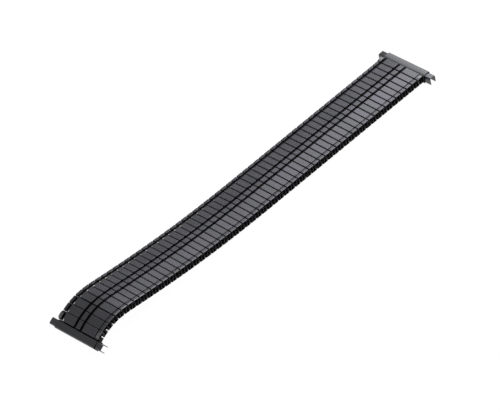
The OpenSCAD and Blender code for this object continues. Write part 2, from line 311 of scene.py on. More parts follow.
def web_places(node):
    """Each staple of a node: middle of its web, tilt, side, the web's height and width, and its outer Y."""
    places = []
    for _, corners in solids(node):
        side = 1 if sum(c.y for c in corners) > 0 else -1
        outer = max(side * c.y for c in corners)
        web = [c for c in corners if side * c.y > outer - WELD]
        middle = sum(web, Vector()) / len(web)
        xx = sum((c.x - middle.x) ** 2 for c in web)
        zz = sum((c.z - middle.z) ** 2 for c in web)
        xz = sum((c.x - middle.x) * (c.z - middle.z) for c in web)
        tilt = 0.5 * math.atan2(2 * xz, zz - xx)
        low, high = local_box(web, tilt)
        places.append((middle, tilt, side, high.z - low.z, high.x - low.x, outer))
    return places


def mesh_from(made, name):
    """The bmesh as a new mesh. The bmesh is freed."""
    mesh = bpy.data.meshes.new(name)
    made.to_mesh(mesh)
    made.free()
    return mesh


def outward_mesh(made, name):
    """The same for a closed shape, with its faces turned to look outward."""
    bmesh.ops.recalc_face_normals(made, faces=made.faces)
    return mesh_from(made, name)


# Materials

CLOUD_SCALE, CLOUD_DETAIL = 160, 2
CLOUD_TONE, CLOUD_ROUGHNESS = 0.16, 0.06
GRAIN_SCALE, GRAIN_DETAIL, GRAIN_TONE = 9000, 3, 0.06
GRAIN_STRETCH = (1, 0.12, 1)
GREENISH, PURPLISH = (0.97, 1.0, 0.98), (1.0, 0.99, 1.04)
BUMP_STRENGTH, BUMP_DISTANCE = 0.05, 0.02 * MM
GLINT_SPAN = (20 * MM, -30 * MM)  # X where the painted glints on marked edges start: fully marked ones and hardly marked ones
LEAST_GLINT = 0.2  # share of the painted glint that the link with the lowest tint gets
COATS = {  # roughness, how much paler rims are, how much the tone varies, whether recesses get painted shade
    "shell": (0.27, 0.3, 0.1, True),
    "right_housing": (0.3, 0.35, 0, True),
    "left_housing": (0.3, 0.35, 0, True),
    "loop": (0.3, 0.3, 0, True),
    "slide": (0.32, 0.35, 0, False),
    "sleeve": (0.42, 0, 0, False),
    "staple": (0.4, 0, 0, False),
}
SPRING_ROUGHNESS = 0.3


def add_sockets(tree, direction, kinds):
    for name, kind in kinds.items():
        tree.interface.new_socket(name=name, in_out=direction, socket_type=f"NodeSocket{kind}")


def feed(tree, socket, value):
    """Links a socket to another one or sets it to a constant, a colour by three values."""
    if isinstance(value, bpy.types.NodeSocket):
        tree.links.new(value, socket)
    elif socket.type == "RGBA":
        socket.default_value = (*value, 1)
    else:
        socket.default_value = value


def add_node(tree, kind, inputs):
    """A new node with its named inputs fed."""
    node = tree.nodes.new(kind)
    for name, value in inputs.items():
        feed(tree, node.inputs[name], value)
    return node


def math_node(tree, operation, first, second):
    node = tree.nodes.new("ShaderNodeMath")
    node.operation = operation
    for socket, value in zip(node.inputs, (first, second)):
        feed(tree, socket, value)
    return node.outputs[0]


def noise(tree, vector, scale, detail):
    inputs = {"Vector": vector, "Scale": scale, "Detail": detail}
    return add_node(tree, "ShaderNodeTexNoise", inputs).outputs["Fac"]


def mix_colour(tree, factor, first, second, blend="MIX"):
    node = tree.nodes.new("ShaderNodeMix")
    node.data_type = "RGBA"
    node.blend_type = blend
    for index, value in ((0, factor), (6, first), (7, second)):
        feed(tree, node.inputs[index], value)
    return node.outputs[2]


def map_range(tree, value, start, stop, low, high):
    """A value mapped from start and stop to low and high."""
    inputs = {"Value": value, "From Min": start, "From Max": stop, "To Min": low, "To Max": high}
    return add_node(tree, "ShaderNodeMapRange", inputs)


def varied(tree, value, gain):
    """How far a value from 0 to 1 lies from its middle, times the gain."""
    return math_node(tree, "MULTIPLY", math_node(tree, "SUBTRACT", value, 0.5), gain)


def coat_group():
    """Shared look of the coat: cloudy tone, a fine satin grain and paler worn edges."""
    known = bpy.data.node_groups.get("Black coat")
    if known:
        return known
    tree = bpy.data.node_groups.new("Black coat", "ShaderNodeTree")
    add_sockets(tree, "INPUT", {"Vector": "Vector", "Colour": "Color", "Rim": "Float", "Rim gain": "Float",
                                "Tint": "Float", "Tint gain": "Float", "Roughness": "Float"})
    tree.interface.items_tree["Tint"].default_value = 0.5
    add_sockets(tree, "OUTPUT", {"Colour": "Color", "Roughness": "Float", "Height": "Float"})
    inputs = tree.nodes.new("NodeGroupInput").outputs
    outputs = tree.nodes.new("NodeGroupOutput").inputs
    stretched = add_node(tree, "ShaderNodeMapping", {"Vector": inputs["Vector"], "Scale": GRAIN_STRETCH})
    cloud = noise(tree, inputs["Vector"], CLOUD_SCALE, CLOUD_DETAIL)
    grain = noise(tree, stretched.outputs["Vector"], GRAIN_SCALE, GRAIN_DETAIL)
    tone = varied(tree, inputs["Tint"], inputs["Tint gain"])
    tone = math_node(tree, "ADD", tone, varied(tree, cloud, CLOUD_TONE))
    tone = math_node(tree, "ADD", tone, varied(tree, grain, GRAIN_TONE))
    rim = math_node(tree, "MULTIPLY", inputs["Rim"], inputs["Rim gain"])
    gain = math_node(tree, "ADD", math_node(tree, "ADD", tone, rim), 1)
    grey = add_node(tree, "ShaderNodeCombineColor", {"Red": gain, "Green": gain, "Blue": gain})
    cast = mix_colour(tree, inputs["Tint"], GREENISH, PURPLISH)
    coloured = mix_colour(tree, 1, inputs["Colour"], cast, "MULTIPLY")
    feed(tree, outputs["Colour"], mix_colour(tree, 1, coloured, grey.outputs["Color"], "MULTIPLY"))
    rough = math_node(tree, "ADD", inputs["Roughness"], varied(tree, cloud, CLOUD_ROUGHNESS))
    feed(tree, outputs["Roughness"], rough)
    feed(tree, outputs["Height"], grain)
    return tree


def attribute_value(tree, name):
    node = tree.nodes.new("ShaderNodeAttribute")
    node.attribute_name = name
    return node.outputs["Fac"]


def glint_share(tree, place):
    """How strongly the marked edges are painted with glints: more towards the left end, and not alike on any
    two links.

    The less an edge is marked, the nearer to the left end its painted glint starts.
    """
    axes = add_node(tree, "ShaderNodeSeparateXYZ", {"Vector": place})
    fade = map_range(tree, axes.outputs["X"], *GLINT_SPAN, 0, 1)
    fade.clamp = False
    # The bare attribute marks where glints are painted.
    marked = attribute_value(tree, "bare")
    share = math_node(tree, "SUBTRACT", math_node(tree, "ADD", fade.outputs["Result"], marked), 1)
    share = math_node(tree, "MULTIPLY", marked, math_node(tree, "MAXIMUM", share, 0))
    uneven = math_node(tree, "ADD", attribute_value(tree, "tint"), LEAST_GLINT)
    return math_node(tree, "MULTIPLY", share, uneven)


def steel(name, colour, roughness, rim_gain=0, tint_gain=0, dark=None, bare=None):
    """Steel whose rim, tint, depth and bare attributes say where it is paler at worn rims, varied, painted
    with shade and painted with glints.
    """
    known = bpy.data.materials.get(name)
    if known:
        return known
    material = bpy.data.materials.new(name)
    material.use_nodes = True
    tree = material.node_tree
    place = tree.nodes.new("ShaderNodeTexCoord").outputs["Object"]
    coat = tree.nodes.new("ShaderNodeGroup")
    coat.node_tree = coat_group()
    inputs = {"Vector": place, "Colour": colour, "Rim gain": rim_gain, "Tint gain": tint_gain,
              "Roughness": roughness}
    if rim_gain:
        inputs["Rim"] = attribute_value(tree, "rim")
    if tint_gain:
        inputs["Tint"] = attribute_value(tree, "tint")
    for socket, value in inputs.items():
        feed(tree, coat.inputs[socket], value)
    final = coat.outputs["Colour"]
    # Painted shade: the depth attribute mixes in the dark shade colour.
    if dark is not None:
        final = mix_colour(tree, attribute_value(tree, "depth"), final, dark)
    # Painted highlight: the bare attribute mixes in the pale glint colour.
    if bare is not None:
        final = mix_colour(tree, glint_share(tree, place), final, bare)
    bump = add_node(tree, "ShaderNodeBump", {"Strength": BUMP_STRENGTH, "Distance": BUMP_DISTANCE,
                                             "Height": coat.outputs["Height"]})
    inputs = {"Base Color": final, "Roughness": coat.outputs["Roughness"], "Metallic": 1,
              "Normal": bump.outputs["Normal"]}
    for socket, value in inputs.items():
        feed(tree, tree.nodes["Principled BSDF"].inputs[socket], value)
    return material


def black_coat(piece):
    """The black coat of a kind of piece, which COATS and FinishSettings name alike."""
    finish = settings().finish
    roughness, rim_gain, tint_gain, paints_hollow_shade = COATS[piece]
    # Painted shade: pieces with recesses get the near-black shade colour there.
    dark = finish.groove if paints_hollow_shade else None
    # Painted highlight: only the shells get the pale glint colour on their marked edges.
    bare = finish.worn if piece == "shell" else None
    name = piece.replace("_", " ") + " black coat"
    return steel(name, getattr(finish, piece), roughness, rim_gain, tint_gain, dark, bare)


def spring_steel():
    return steel("bare spring steel", settings().finish.spring, SPRING_ROUGHNESS)


# Geometry nodes that set one shape on many places


def vector_attribute(tree, name):
    node = add_node(tree, "GeometryNodeInputNamedAttribute", {"Name": name})
    node.data_type = "FLOAT_VECTOR"
    return node.outputs["Attribute"]


def row_tree():
    """Sets a shape on every point, turned by its pose and scaled by its stretch, each with its own tint."""
    known = bpy.data.node_groups.get("Row of links")
    if known:
        return known
    tree = bpy.data.node_groups.new("Row of links", "GeometryNodeTree")
    add_sockets(tree, "INPUT", {"Geometry": "Geometry", "Shape": "Object", "Seed": "Int",
                                "Material": "Material"})
    add_sockets(tree, "OUTPUT", {"Geometry": "Geometry"})
    inputs = tree.nodes.new("NodeGroupInput").outputs
    outputs = tree.nodes.new("NodeGroupOutput").inputs
    shape = add_node(tree, "GeometryNodeObjectInfo", {"Object": inputs["Shape"], "As Instance": True})
    turn = tree.nodes.new("FunctionNodeEulerToRotation")
    feed(tree, turn.inputs[0], vector_attribute(tree, "pose"))
    place = add_node(tree, "GeometryNodeInstanceOnPoints", {
        "Points": inputs["Geometry"], "Instance": shape.outputs["Geometry"],
        "Rotation": turn.outputs[0], "Scale": vector_attribute(tree, "stretch"),
    })
    tint = add_node(tree, "FunctionNodeRandomValue", {"Seed": inputs["Seed"]})
    store = add_node(tree, "GeometryNodeStoreNamedAttribute", {
        "Geometry": place.outputs["Instances"], "Name": "tint", "Value": tint.outputs[1],
    })
    store.domain = "INSTANCE"
    realize = add_node(tree, "GeometryNodeRealizeInstances", {"Geometry": store.outputs["Geometry"]})
    finish = add_node(tree, "GeometryNodeSetMaterial", {
        "Geometry": realize.outputs["Geometry"], "Material": inputs["Material"],
    })
    feed(tree, outputs["Geometry"], finish.outputs["Geometry"])
    return tree


def new_object(name, mesh):
    made = bpy.data.objects.new(name, mesh)
    bpy.context.scene.collection.objects.link(made)
    return made


def frozen(source, name):
    """The evaluated result of an object as a plain mesh object. The source is removed."""
    depsgraph = bpy.context.evaluated_depsgraph_get()
    mesh = bpy.data.meshes.new_from_object(source.evaluated_get(depsgraph), depsgraph=depsgraph)
    mesh.name = name
    bpy.data.objects.remove(source)
    return new_object(name, mesh)


def set_row(name, shape, places, material, seed=1):
    """One mesh with the shape at every place, given as (position, Euler angles, stretch)."""
    points = bpy.data.meshes.new(name + " points")
    points.from_pydata([place[0] for place in places], [], [])
    for index, attribute in ((1, "pose"), (2, "stretch")):
        values = points.attributes.new(attribute, "FLOAT_VECTOR", "POINT")
        values.data.foreach_set("vector", [value for place in places for value in place[index]])
    row = new_object(name + " points", points)
    modifier = row.modifiers.new("Row of links", "NODES")
    modifier.node_group = row_tree()
    sockets = modifier.node_group.interface.items_tree
    for socket, value in (("Shape", shape), ("Seed", seed), ("Material", material)):
        modifier[sockets[socket].identifier] = value
    return frozen(row, name)


def smooth(mesh, angle):
    mesh.polygons.foreach_set("use_smooth", [True] * len(mesh.polygons))
    mesh.set_sharp_from_angle(angle=angle)


def flatten_wide_faces(mesh, least_area):
    """Keeps wide faces flat, so that only the narrow rounded ones shade smoothly."""
    for face in mesh.polygons:
        if face.area > least_area:
            face.use_smooth = False


def add_values(mesh, name, values):
    attribute = mesh.attributes.new(name, "FLOAT", "POINT")
    attribute.data.foreach_set("value", values)


# Top shells

WORN_DROP, WALL_DROP = 0.6, 1.2  # drops of a groove's worn edge and of the top of its wall, in bevels
WALL_START = 0.2  # where that wall starts, as a share of its lean
GLINT_WIDENING = 3  # how much wider a bevel gets that is painted with a glint
GLINT_ROOM = 0.45 * MM  # what lies beside a glinting bevel and gets no painted glint
# Rounding of a shell's short ends: distance from the end and drop, both in end drops, and how worn, which on
# the near end also sets its painted glint
END_STEPS = ((1.6, 0, 0), (0.6, 0.22, 0.4), (0.12, 0.6, 0.6), (0, 1, 0))
EDGE_ARC = ((0, 0), (30, 0.1), (60, 0.6), (90, 1))  # angle in degrees on a long edge, and how much painted shade it gets towards the gap between shells
LEFT_COLUMNS = (0.25 * MM, 0.5 * MM)  # extra columns on the top beside the left edge
GLINT_COLUMNS = len(EDGE_ARC) + 1  # columns from the left in which the far groove's edge is painted with a glint


def groove_steps(centre, width, depth, style, bare=0, beyond=0):
    """Profile points of one groove: (place across the band, drop, worn edge, painted shade, painted glint).

    bare is how strongly the bevel on the centreline's side is painted with a glint, and beyond how much
    painted shade the far side gets.
    """
    half = width / 2
    before = [(centre - half - GLINT_ROOM, 0, 0, 0, 0)] if bare else []
    return before + [
        (centre - half - style.bevel * (1 + GLINT_WIDENING * bare), 0, 0, 0, bare),
        (centre - half, style.bevel * WORN_DROP, 1, 0, bare),
        (centre - half + WALL_START * style.wall_lean, style.bevel * WALL_DROP, 0, 1, 0),
        (centre - half + style.wall_lean, depth, 0, 1, 0),
        (centre + half - style.wall_lean, depth, 0, 1, 0),
        (centre + half - WALL_START * style.wall_lean, style.bevel * WALL_DROP, 0, 1, 0),
        (centre + half, style.bevel * WORN_DROP, 1, 0, 0),
        (centre + half + style.bevel, 0, 0, beyond, 0),
    ]


def across_profile(length, style):
    """Profile points from the near end to the far one, given as by groove_steps."""
    half = length / 2
    end = [(half - style.end_drop * back, style.end_drop * drop, rim) for back, drop, rim in END_STEPS]
    # The near end's rounding gets painted glints and its outermost point painted shade; the far end's points
    # get the far strip's painted shade.
    points = [(-y, drop, rim, 0 if y < half else 1, rim * style.near_glint) for y, drop, rim in reversed(end)]
    points += groove_steps(-style.fine_groove, style.fine_width, style.fine_depth, style)
    wide = (style.groove_width, style.groove_depth, style)
    points += groove_steps(-style.middle_groove, *wide)
    points += groove_steps(style.middle_groove, *wide)
    points += groove_steps(style.outer_groove, *wide, bare=1, beyond=style.far_shade)
    return points + [(y, drop, 0, style.far_shade, 0) for y, drop, _ in end]


def along_profile(width, radius):
    """Quarter round edges and a flat top: (place along the band, drop, painted shade on the edge)."""
    half = width / 2
    arc = []
    for angle, dark in EDGE_ARC:
        turn = math.radians(angle)
        arc.append((half - radius + radius * math.sin(turn), radius * (1 - math.cos(turn)), dark))
    left = [(-x, drop, dark) for x, drop, dark in reversed(arc)]
    return left + [(radius - half + column, 0, 0) for column in LEFT_COLUMNS] + arc


def shell_shape(width, length, height, style):
    """A hollow cap whose top is at zero: grooved across the band and folded down at both long edges."""
    across = across_profile(length, style)
    along = along_profile(width, style.edge_radius)
    roof = style.base + style.groove_depth
    inner = width / 2 - style.lip_wall
    made = bmesh.new()
    rims, painted_shades, painted_glints = [], [], []

    # A corner's depth is its painted shade, and its bare value its painted glint.
    def corner(x, y, z, rim, depth, bare=0.0):
        rims.append(rim)
        painted_shades.append(depth)
        painted_glints.append(bare)
        return made.verts.new((x, y, z))

    outside, inside = [], []
    for y, drop, edge, dark, bare in across:
        drop += style.crown * min(1, abs(y) / style.outer_groove) ** 2
        turn = max(0, (abs(y) - length / 2) / (2 * style.corner) + 1)
        narrow = 1 - 2 * style.corner * (1 - math.sqrt(1 - turn ** 2)) / width
        # The lower edges of the folded sides and the whole inside are painted fully dark: painted shade
        # between the shells and in their hollows.
        row = [corner(-width / 2 * narrow, y, -height, 0, 1)]
        for n, (x, fall, side) in enumerate(along):
            # Painted glints go on the near side in every column, and on the far side only in the first
            # columns from the left.
            shown = bare if n < GLINT_COLUMNS or y < 0 else 0
            row.append(corner(x * narrow, y, -drop - fall, edge * (1 - side), max(dark, side), shown))
        row.append(corner(width / 2 * narrow, y, -height, 0, 1))
        outside.append(row)
        inside.append([corner(x * narrow, y, z, 0, 1) for x, z in
                       ((-inner, -height), (-inner, -roof), (inner, -roof), (inner, -height))])
    for n in range(len(across) - 1):
        for rows, flip in ((outside, False), (inside, True)):
            for a, b, c, d in zip(rows[n], rows[n][1:], rows[n + 1][1:], rows[n + 1]):
                made.faces.new((a, d, c, b) if flip else (a, b, c, d))
        for side in (0, -1):
            made.faces.new((outside[n][side], outside[n + 1][side], inside[n + 1][side], inside[n][side]))
    for n in (0, -1):
        made.faces.new(outside[n] + inside[n][::-1])
    mesh = outward_mesh(made, "shell shape")
    add_values(mesh, "rim", rims)
    add_values(mesh, "depth", painted_shades)
    add_values(mesh, "bare", painted_glints)
    smooth(mesh, FOLDED)
    flatten_wide_faces(mesh, style.edge_radius ** 2)
    return new_object("shell shape", mesh)


def spread(first, second, gap):
    """How far each of two shells that bend apart is widened to leave the gap between their tops."""
    edges = []
    for (tilt, low, high), x in ((first, first[1].x), (second, second[2].x)):
        edges.append(Matrix.Rotation(tilt, 3, "Y") @ Vector((x, 0, high.z)))
    return max(0, ((edges[0] - edges[1]).length - gap) / 2)


class BAND_OT_shells(bpy.types.Operator):
    """Sets a grooved top shell on every upper sleeve"""

    bl_idname = "watch_band.shells"
    bl_label = "Top Shells"

    def execute(self, context):
        style = settings().shells
        numbers = range(1, SEGMENTS + 1)
        found = [(number, place) for number in numbers for place in link_places(f"shells_{number}")]
        _, (_, low, high) = found[0]
        size = high - low
        shape = shell_shape(size.x, size.y, size.z, style)
        sides = [style.end_reach]
        for (segment, first), (following, second) in zip(found, found[1:]):
            room = 0 if segment == following else style.hinge_room
            sides.append(spread(first, second, style.gap + room))
        sides.append(style.end_reach)
        rows = {number: [] for number in numbers}
        for (segment, (tilt, low, high)), right, left in zip(found, sides, sides[1:]):
            middle = (low.x + high.x + right - left) / 2
            top = Matrix.Rotation(tilt, 3, "Y") @ Vector((middle, 0, high.z))
            rows[segment].append((top, (0, tilt, 0), ((size.x + right + left) / size.x, 1, 1)))
        for segment, places in rows.items():
            node = f"shells_{segment}"
            row = set_row(f"top_shells_{segment}", shape, places, black_coat("shell"), style.seed + segment)
            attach(row, f"segment_{segment}")
            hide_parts(node)
        bpy.data.objects.remove(shape)
        return {"FINISHED"}


# Staples

BEND_ANGLES = (0, 45, 90)
STAPLE_SIDES = 6


def staple_shape(height, width, style):
    """A bent staple with the outer face of its flattened web at the origin and its arms towards minus Y."""
    radius = style.arm / 2
    reach = height / 2 - width / 2
    bend = style.bend
    path = [(-style.reach, reach)]
    for angle in BEND_ANGLES:
        turn = math.radians(angle)
        path.append((-style.depth / 2 - bend + bend * math.sin(turn), reach - bend + bend * math.cos(turn)))
    path += [(y, -z) for y, z in reversed(path)]
    made = bmesh.new()
    rings = []
    for n, (y, z) in enumerate(path):
        before, after = path[max(n - 1, 0)], path[min(n + 1, len(path) - 1)]
        along = Vector((0, after[0] - before[0], after[1] - before[1])).normalized()
        across = Vector((1, 0, 0))
        inward = across.cross(along)
        upright = abs(along.z)
        half_wide = radius + (width / 2 - radius) * upright
        half_thick = radius + (style.depth / 2 - radius) * upright
        ring = []
        for side in range(STAPLE_SIDES):
            angle = 2 * math.pi * (side + 0.5) / STAPLE_SIDES
            offset = across * (half_wide * math.cos(angle)) + inward * (half_thick * math.sin(angle))
            ring.append(made.verts.new(Vector((0, y, z)) + offset))
        rings.append(ring)
    for first, second in zip(rings, rings[1:]):
        for side in range(STAPLE_SIDES):
            following = (side + 1) % STAPLE_SIDES
            made.faces.new((first[side], first[following], second[following], second[side]))
    made.faces.new(rings[0][::-1])
    made.faces.new(rings[-1])
    mesh = outward_mesh(made, "staple shape")
    smooth(mesh, ROUNDED)
    return new_object("staple shape", mesh)


class BAND_OT_staples(bpy.types.Operator):
    """Sets the bent staples that join the two rows of sleeves at both edges"""

    bl_idname = "watch_band.staples"
    bl_label = "Staples"

    def execute(self, context):
        style = settings().staples
        shape = None
        rows = [(f"segment_{n}", f"staples_{n}") for n in range(1, SEGMENTS + 1)]
        rows += [(body, body.replace("swing_", "swing_staples_")) for body in SWINGS]
        for body, node in rows:
            places = []
            for middle, tilt, side, height, width, outer in web_places(node):
                if shape is None:
                    shape = staple_shape(height, width, style)
                angles = (0, tilt, 0) if side > 0 else (0, -tilt, math.pi)
                place = Vector((middle.x, side * (outer - style.depth / 2), middle.z))
                places.append((place, angles, (1, 1, 1)))
            row = set_row(f"bent_{node}", shape, places, black_coat("staple"))
            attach(row, body)
            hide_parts(node)
        bpy.data.objects.remove(shape)
        return {"FINISHED"}


# Folded sheets: sleeves, hooks, covers, loops and slides

UNDERSIDE = -0.5  # a normal whose Z is less looks down
BEVEL_FROM = math.radians(40)  # edges sharper than this are bevelled
BEVEL_REACH = 1.2  # a face with an edge shorter than this many bevels is part of a bevel
SLEEVE_ARC = ((1, 0), (0.7, 0.7), (0, 1))  # cosine and sine of the points on a sleeve's edge
CROWN_END = 1  # slope in degrees at which a cover's crown meets the outer shoulder
SHOULDER_STEPS, CROWN_STEPS = 8, 6
TOE_ANGLES = (0, 30, 60, 90)
END_RIM, RIM_REACH = 0.6, 3  # how worn a cover's ends are, and how many end bevels that reaches in


def dressed_copy(node, name, bevel, material, segments=2):
    """A copy of a CAD node with its facets merged and its edges bevelled, marked where they are worn."""
    made = merged_copy(node)
    bmesh.ops.dissolve_limit(made, angle_limit=SAME_PLANE, verts=made.verts, edges=made.edges)
    mesh = mesh_from(made, name + " source")
    mesh.materials.clear()
    mesh.materials.append(material)
    source = new_object(name + " source", mesh)
    modifier = source.modifiers.new("Bevel", "BEVEL")
    modifier.width = bevel
    modifier.segments = segments
    modifier.limit_method = "ANGLE"
    modifier.angle_limit = BEVEL_FROM
    copy = frozen(source, name)
    smooth(copy.data, BEVELLED)
    mark_edges(copy.data, bevel)
    return copy


def mark_edges(mesh, bevel):
    """Gives the corners of every narrow bevel face a worn rim."""
    worn = [0.0] * len(mesh.vertices)
    for face in mesh.polygons:
        edges = [(mesh.vertices[a].co - mesh.vertices[b].co).length for a, b in face.edge_keys]
        if min(edges) < bevel * BEVEL_REACH:
            for corner in face.vertices:
                worn[corner] = 1.0
    add_values(mesh, "rim", worn)


def sleeve_shape(width, length, height, style):
    """A flat tube with rounded edges, open at both ends, with its middle at the origin.

    Its ring has three points at each of the four edges, and its bore has one.
    """
    ring, bore = [], []
    for sx, sz in ((1, 1), (-1, 1), (-1, -1), (1, -1)):
        arc = [(sx * (width / 2 - style.radius * (1 - c)), sz * (height / 2 - style.radius * (1 - s)))
               for c, s in SLEEVE_ARC]
        ring += arc if sx * sz > 0 else arc[::-1]
        bore.append((sx * (width / 2 - style.wall), sz * (height / 2 - style.wall)))
    made = bmesh.new()
    bevel, end = style.end_bevel, length / 2
    loops = []
    for outline, y, inset in ((bore, -end, 0), (ring, -end, bevel), (ring, bevel - end, 0),
                              (ring, end - bevel, 0), (ring, end, bevel), (bore, end, 0)):
        loops.append([made.verts.new((x - math.copysign(inset, x), y, z - math.copysign(inset, z)))
                      for x, z in outline])
    for first, second in zip(loops[1:4], loops[2:5]):
        for n in range(len(ring)):
            made.faces.new((first[n], first[n - 1], second[n - 1], second[n]))
    for outer, inner in ((loops[1], loops[0]), (loops[4], loops[5])):
        for n in range(4):
            made.faces.new((outer[3 * n], outer[3 * n + 1], outer[3 * n + 2], inner[n]))
            made.faces.new((outer[3 * n], inner[n], inner[n - 1], outer[3 * n - 1]))
    for n in range(4):
        made.faces.new((loops[0][n], loops[0][n - 1], loops[5][n - 1], loops[5][n]))
    mesh = outward_mesh(made, "sleeve shape")
    smooth(mesh, FOLDED)
    return new_object("sleeve shape", mesh)


class BAND_OT_sleeves(bpy.types.Operator):
    """Sets both rows of sleeves and finishes the hooks of the end pieces"""

    bl_idname = "watch_band.sleeves"
    bl_label = "Sleeves"

    def execute(self, context):
        style = settings().sleeves
        shape = None
        for segment in range(1, SEGMENTS + 1):
            node = f"sleeves_{segment}"
            places = []
            for tilt, low, high in link_places(node):
                size = high - low
                if shape is None:
                    shape = sleeve_shape(size.x, size.y, size.z, style)
                    width = size.x
                middle = Matrix.Rotation(tilt, 3, "Y") @ ((low + high) / 2)
                places.append((middle, (0, tilt, 0), (size.x / width, 1, 1)))
            row = set_row(f"folded_{node}", shape, places, black_coat("sleeve"), segment)
            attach(row, f"segment_{segment}")
            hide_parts(node)
        bpy.data.objects.remove(shape)
        for end, number in ENDS.items():
            node = f"{end}_hook"
            copy = dressed_copy(node, f"folded_{node}", settings().finish.bevel, black_coat("sleeve"), 1)
            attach(copy, f"segment_{number}")
            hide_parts(node)
        return {"FINISHED"}


def cover_outline(width, height, style):
    """Outside of a cover in X and Z with its outward normals, from its inner lip round to its outer lip."""
    points = [((style.lip - width / 2, 0), (0, -1)), ((style.foot - width / 2, 0), (0, -1)),
              ((-width / 2, style.foot), (-1, 0))]
    slant, level, right = math.radians(-style.slant), math.radians(CROWN_END), math.pi / 2
    inner, outer = style.inner_radius, style.outer_radius
    crown = (width - inner * (1 + math.sin(slant)) - outer * (1 - math.sin(level))) / (
        math.sin(level) - math.sin(slant))
    x = -width / 2
    z = height - crown * (math.cos(level) - math.cos(slant)) - inner * math.cos(slant)
    for start, stop, radius, steps in ((-right, slant, inner, SHOULDER_STEPS),
                                       (slant, level, crown, CROWN_STEPS),
                                       (level, right, outer, SHOULDER_STEPS)):
        for n in range(steps + (stop == right)):
            angle = start + (stop - start) * n / steps
            place = (x + radius * (math.sin(angle) - math.sin(start)),
                     z + radius * (math.cos(angle) - math.cos(start)))
            points.append((place, (math.sin(angle), math.cos(angle))))
        x += radius * (math.sin(stop) - math.sin(start))
        z += radius * (math.cos(stop) - math.cos(start))
    for angle in TOE_ANGLES:
        turn = math.radians(angle)
        normal = (math.cos(turn), -math.sin(turn))
        points.append(((width / 2 - style.toe * (1 - normal[0]), style.toe * (1 + normal[1])), normal))
    return points + [((width / 2 - style.lip, 0), (0, -1))]


def end_place(end, tilt, x, y, z):
    """A function that sets a local corner, with X outward, round a place in an end's tilted axes."""
    turn = Matrix.Rotation(tilt, 3, "Y")
    return lambda corner: turn @ Vector((x + OUTWARD[end] * corner.x, y + corner.y, z + corner.z))


def bent_sheet(name, width, length, height, style, place, cut_end_shade=1):
    """A channel of bent sheet with a gently crowned top, open below.

    place sets its corners in the frame, and the last argument is how much painted shade its cut ends get.
    """
    outline = cover_outline(width, height, style)
    outer = [Vector((x, 0, z)) for (x, z), _ in outline]
    inner = []
    reach = width / 2 - style.sheet - style.edge
    for (x, z), (nx, nz) in outline:
        x -= nx * style.sheet
        z -= nz * style.sheet
        if nz < UNDERSIDE:
            inner.append(Vector((max(-reach, min(reach, x)), 0, z)))
        else:
            inner.append(Vector((x, 0, max(z, style.sheet + style.edge))))
    made = bmesh.new()
    rims, painted_shades = [], []

    def loop(path, y, rim, depth=0):
        rims.extend([rim] * len(path))
        painted_shades.extend([depth] * len(path))
        return [made.verts.new(place(Vector((v.x, y, v.z)))) for v in path]

    shrunk = [Vector((x - nx * style.edge, 0, z - nz * style.edge)) for (x, z), (nx, nz) in outline]
    end, bevel = length / 2, style.edge
    # The inside and the cut ends are painted dark: painted shade inside the channel and along the step at
    # each end.
    loops = [loop(inner, -end, 0, 1), loop(shrunk, -end, 0, cut_end_shade), loop(outer, bevel - end, END_RIM),
             loop(outer, RIM_REACH * bevel - end, 0), loop(outer, end - RIM_REACH * bevel, 0),
             loop(outer, end - bevel, END_RIM), loop(shrunk, end, 0, cut_end_shade), loop(inner, end, 0, 1)]
    loops.append(loops[0])
    for first, second in zip(loops, loops[1:]):
        for a, b, c, d in zip(first, first[1:], second[1:], second):
            made.faces.new((a, b, c, d))
    for n in (0, -1):
        made.faces.new([row[n] for row in loops[:-1]])
    mesh = outward_mesh(made, name)
    add_values(mesh, "rim", rims)
    add_values(mesh, "depth", painted_shades)
    smooth(mesh, BEVELLED)
    return new_object(name, mesh)


class BAND_OT_loops(bpy.types.Operator):
    """Sets the open loops at both ends of the first and the last link"""

    bl_idname = "watch_band.loops"
    bl_label = "Loops"

    def execute(self, context):
        style = settings().loops
        for end, number in ENDS.items():
            tilt, low, high = end_link(end)
            for side, way in SIDES.items():
                y = way * (high.y + style.proud - style.length / 2)
                place = end_place(end, tilt, (low.x + high.x) / 2, y, high.z - style.height)
                made = bent_sheet(f"{end}_{side}_loop", high.x - low.x, style.length, style.height, style,
                                  place, style.cut_end_shade)
                made.data.materials.append(black_coat("loop"))
                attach(made, f"segment_{number}")
        return {"FINISHED"}


class BAND_OT_end_pieces(bpy.types.Operator):
    """Finishes the housings and the slides of both end pieces"""

    bl_idname = "watch_band.end_pieces"
    bl_label = "End Pieces"

    def execute(self, context):
        bevel = settings().finish.bevel
        style = settings().covers
        for end, number in ENDS.items():
            tilt = end_link(end)[0]
            low, high = local_box([v.co for v in frame["nodes"][f"{end}_housing"].data.vertices], tilt)
            place = end_place(end, tilt, (low.x + high.x) / 2, 0, low.z)
            cover = bent_sheet(f"{end}_cover", *(high - low), style, place)
            # The left end piece's coat is a darker copy of the right one's: painted shade.
            cover.data.materials.append(black_coat(f"{end}_housing"))
            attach(cover, f"segment_{number}")
            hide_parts(f"{end}_housing")
            for side in SIDES:
                node = f"{end}_{side}_slide"
                slide = dressed_copy(node, f"{end}_{side}_channel", bevel, black_coat("slide"))
                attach(slide, node)
                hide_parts(node)
        return {"FINISHED"}


def coil_half(node, way):
    """The near or far half of a coil spring, closed where it is parted, with its slide's side in Y as way."""
    made = merged_copy(node)
    everything = made.verts[:] + made.edges[:] + made.faces[:]
    bmesh.ops.bisect_plane(made, geom=everything, plane_co=(0, 0, 0), plane_no=(0, way, 0), clear_inner=True)
    bmesh.ops.holes_fill(made, edges=[edge for edge in made.edges if edge.is_boundary])
    mesh = mesh_from(made, node)
    mesh.materials.clear()
    mesh.materials.append(spring_steel())
    smooth(mesh, ROUNDED)
    return mesh


